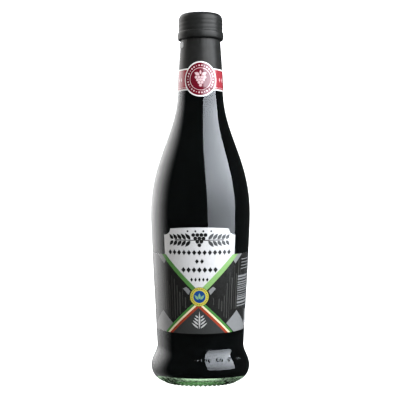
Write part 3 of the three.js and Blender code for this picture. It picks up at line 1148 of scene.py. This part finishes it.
def shield_ornament():
    """Studs, a wreath of leaves, grapes and rows of lozenges on the shield."""
    shapes = [disc(u, STUD_Z, radius=0.65, sides=14) for u in spread(count=4, pitch=5.2)]
    shapes += [bar(0, WREATH_Z, WREATH_LENGTH, WREATH_STEM)]
    for i in range(WREATH_PAIRS):
        u = WREATH_FIRST + WREATH_PITCH * i
        end = WREATH_LEAF - WREATH_TAPER * i
        pair = [leaf(u, WREATH_Z, start=0.6, end=end, width=2.35, angle=angle) for angle in (50, -50)]
        shapes += both_sides(pair)
    shapes += grapes(BUNCH_Z, radius=1.3, rows=4)
    shapes += lozenges(z=94.0, count=13, pitch=3.5, width=3.0, height=3.8)
    shapes += lozenges(z=87.9, count=2, pitch=3.4, width=2.6, height=3.4)
    shapes += lozenges(z=82.0, count=7, pitch=3.7, width=3.2, height=4.0)
    shapes += lozenges(z=75.3, count=5, pitch=2.7, width=1.9, height=3.0)
    ink("shield_ornament", shapes, LABEL, 1, INK_BLACK)


def triangle_sprig():
    sprout = [leaf(0, SPROUT_Z, start=0, end=SPROUT_HEIGHT, width=1.2, angle=90)]
    for i in range(SPROUT_PAIRS):
        z = SPROUT_Z + SPROUT_PITCH * i
        end = SPROUT_LEAF - SPROUT_TAPER * i
        sprout += both_sides([leaf(0, z, start=0.9, end=end, width=1.1, angle=38)])
    ink("triangle_sprig", sprout, LABEL, 3, INK_SILVER)


def rules(u_low, u_high, z_high, count, pitch, height):
    """Plain rules of uneven length, one under another."""
    lines = []
    for i in range(count):
        end = u_high - RANDOM.uniform(0, RULE_UNEVENNESS) * (u_high - u_low)
        lines.append(bar((u_low + end) / 2, z_high - i * pitch, end - u_low, height))
    return lines


def label_sides():
    """Bars and a white panel on the right, and plain rules on the sides and the back."""
    bars = []
    z = SIDE_BARS_LOW
    while z < SIDE_BARS_HIGH:
        height = RANDOM.choice(SIDE_BAR_HEIGHTS)
        bars.append(bar(SIDE_BARS_MIDDLE, z + height / 2, SIDE_BARS_WIDTH, height))
        z += height + RANDOM.choice(SIDE_BAR_GAPS)
    near, far = BACK_PRINT
    small = rules(*SIDE_PRINT, PRINT_HIGH, count=4, pitch=2.2, height=0.55)
    small += rules(near, far, PRINT_HIGH, count=18, pitch=2.4, height=0.6)
    small += rules(-far, -near, PRINT_HIGH, count=18, pitch=2.4, height=0.6)
    left, right = PANEL_MIDDLE[0] - PANEL_PRINT_HALF, PANEL_MIDDLE[0] + PANEL_PRINT_HALF
    on_panel = rules(left, right, PANEL_PRINT_HIGH, count=5, pitch=2, height=0.55)
    ink("side_bars", bars, LABEL, 3, INK_GREY)
    ink("side_panel", [bar(*PANEL_MIDDLE, *PANEL_SIZE)], LABEL, 4, PAPER_WHITE)
    ink("side_rules", small, LABEL, 3, INK_GREY)
    ink("panel_rules", on_panel, LABEL, 5, INK_CHARCOAL)


# Studio
def stage_object(name, points, faces, material):
    obj = mesh_object(name, points, faces, material)
    return obj


def floor_material():
    """White, with a glow that grows a little away from the bottle."""
    shader = Shader("studio_floor")
    shader.colours(shader.noise(scale=6), (0.86, 0.86, 0.86), (0.89, 0.89, 0.89))
    shader.roughness(shader.noise(scale=20), low=0.85, high=0.95)
    shader.set(Emission_Color=(*WHITE, 1))
    away = shader.tree.nodes.new("ShaderNodeVectorMath")
    away.operation = "LENGTH"
    shader.tree.links.new(shader.where, away.inputs[0])
    shader.link(ramp(shader.tree, away.outputs["Value"], *FLOOR_GLOW), "Emission Strength")
    return shader.material


def cove():
    """Round floor that curves up into a wall. Only the camera sees it, also through the glass."""
    bend_start = COVE_RADIUS - COVE_BEND
    profile = [(out, 0) for out in (*FLOOR_RINGS, bend_start)]
    for angle in np.linspace(0, math.pi / 2, COVE_BEND_POINTS)[1:]:
        out = bend_start + COVE_BEND * math.sin(angle)
        profile.append((out, COVE_BEND - COVE_BEND * math.cos(angle)))
    profile.append((COVE_RADIUS, COVE_HEIGHT))
    points = [around(out, turn, z) for out, z in profile for turn in even_turns(COVE_COLUMNS)]
    points.append((0, 0, 0))
    faces = []
    for column in range(COVE_COLUMNS):
        after = (column + 1) % COVE_COLUMNS
        faces.append((len(points) - 1, column, after))
        for low in range(0, COVE_COLUMNS * (len(profile) - 1), COVE_COLUMNS):
            high = low + COVE_COLUMNS
            faces.append((low + column, high + column, high + after, low + after))
    floor = stage_object("studio_cove", points, faces, floor_material())
    floor.visible_glossy = False
    floor.visible_diffuse = False


def upright(near_low, near_high, far, heights):
    """Corners of an upright panel, whose near end can lean."""
    low, high = heights
    return [(*near_low, low), (*far, low), (*far, high), (*near_high, high)]


def softbox(name, corners, colour, upwards, along, beyond=EVEN):
    """A lit panel, out of the camera's sight, whose glow goes by one ramp up and by two along it."""
    material = bpy.data.materials.new(name)
    material.use_nodes = True
    tree = material.node_tree
    tree.nodes.remove(tree.nodes["Principled BSDF"])
    emission = tree.nodes.new("ShaderNodeEmission")
    emission.inputs["Color"].default_value = (*colour, 1)
    place = axes(tree, tree.nodes.new("ShaderNodeTexCoord").outputs["Generated"])
    level = maths(tree, "MULTIPLY", ramp(tree, place["Y"], *along), ramp(tree, place["Y"], *beyond))
    glow = maths(tree, "MULTIPLY", level, ramp(tree, place["Z"], *upwards))
    tree.links.new(glow, emission.inputs["Strength"])
    tree.links.new(emission.outputs["Emission"], tree.nodes["Material Output"].inputs["Surface"])
    panel = stage_object(name, corners, [(0, 1, 2, 3)], material)
    panel.visible_camera = False


def turned_to(place, target):
    return (Vector(target) - Vector(place)).to_track_quat("-Z", "Y").to_euler()


def lamp(name, energy, size, place, target):
    """A soft fill light that leaves no reflection."""
    light = bpy.data.lights.new(name, "AREA")
    light.energy = energy
    light.size = size
    fill = bpy.data.objects.new(name, light)
    fill.location = place
    fill.rotation_euler = turned_to(place, target)
    fill.visible_glossy = False
    fill.visible_camera = False
    bpy.context.scene.collection.objects.link(fill)


def dim_world():
    world = bpy.data.worlds.new("studio_world")
    world.use_nodes = True
    background = world.node_tree.nodes["Background"]
    background.inputs["Color"].default_value = (*WHITE, 1)
    background.inputs["Strength"].default_value = WORLD_GLOW
    bpy.context.scene.world = world


def studio():
    cove()
    right = upright(RIGHT_NEAR_LOW, RIGHT_NEAR_HIGH, RIGHT_FAR, RIGHT_HEIGHTS)
    left = upright(LEFT_NEAR, LEFT_NEAR, LEFT_FAR, LEFT_HEIGHTS)
    softbox("softbox_right", right, RIGHT_COLOUR, RIGHT_UPWARDS, RIGHT_ALONG)
    softbox("softbox_left", left, WHITE, LEFT_UPWARDS, LEFT_ALONG, LEFT_BEYOND)
    lamp("lamp_above", energy=15, size=2.4, place=(0, 0.3, 2.2), target=(0, 0.3, 0))
    lamp("lamp_left", energy=7.5, size=1.0, place=(-1.1, -0.9, 0.6), target=(0, 0, 0.12))
    dim_world()
    bpy.context.scene.view_settings.view_transform = "Standard"
    bpy.context.scene.view_settings.look = "None"


def camera():
    data = bpy.data.cameras.new("photo_camera")
    data.sensor_width = SENSOR
    data.lens = SENSOR * CAMERA_DISTANCE / PHOTO_SCALE / PHOTO_SIZE
    data.clip_start = CAMERA_CLIP
    eye = bpy.data.objects.new("photo_camera", data)
    side = (PHOTO_SIZE / 2 - AXIS_COLUMN) * PHOTO_SCALE
    place = Vector((side, -CAMERA_DISTANCE, (FOOT_ROW - HORIZON_ROW) * PHOTO_SCALE)) * MM
    target = Vector((side, 0, (FOOT_ROW - PHOTO_SIZE / 2) * PHOTO_SCALE)) * MM
    eye.location = place
    eye.rotation_euler = turned_to(place, target)
    bpy.context.scene.collection.objects.link(eye)
    bpy.context.scene.camera = eye


glass_body()
vinegar_fill()
capsule_film()
tear_tab()
band_paper()
band_field()
medallion()
band_marks()
label_paper()
label_fields()
label_ribbons()
label_stripes()
label_seal()
shield_ornament()
triangle_sprig()
label_sides()
studio()
camera()
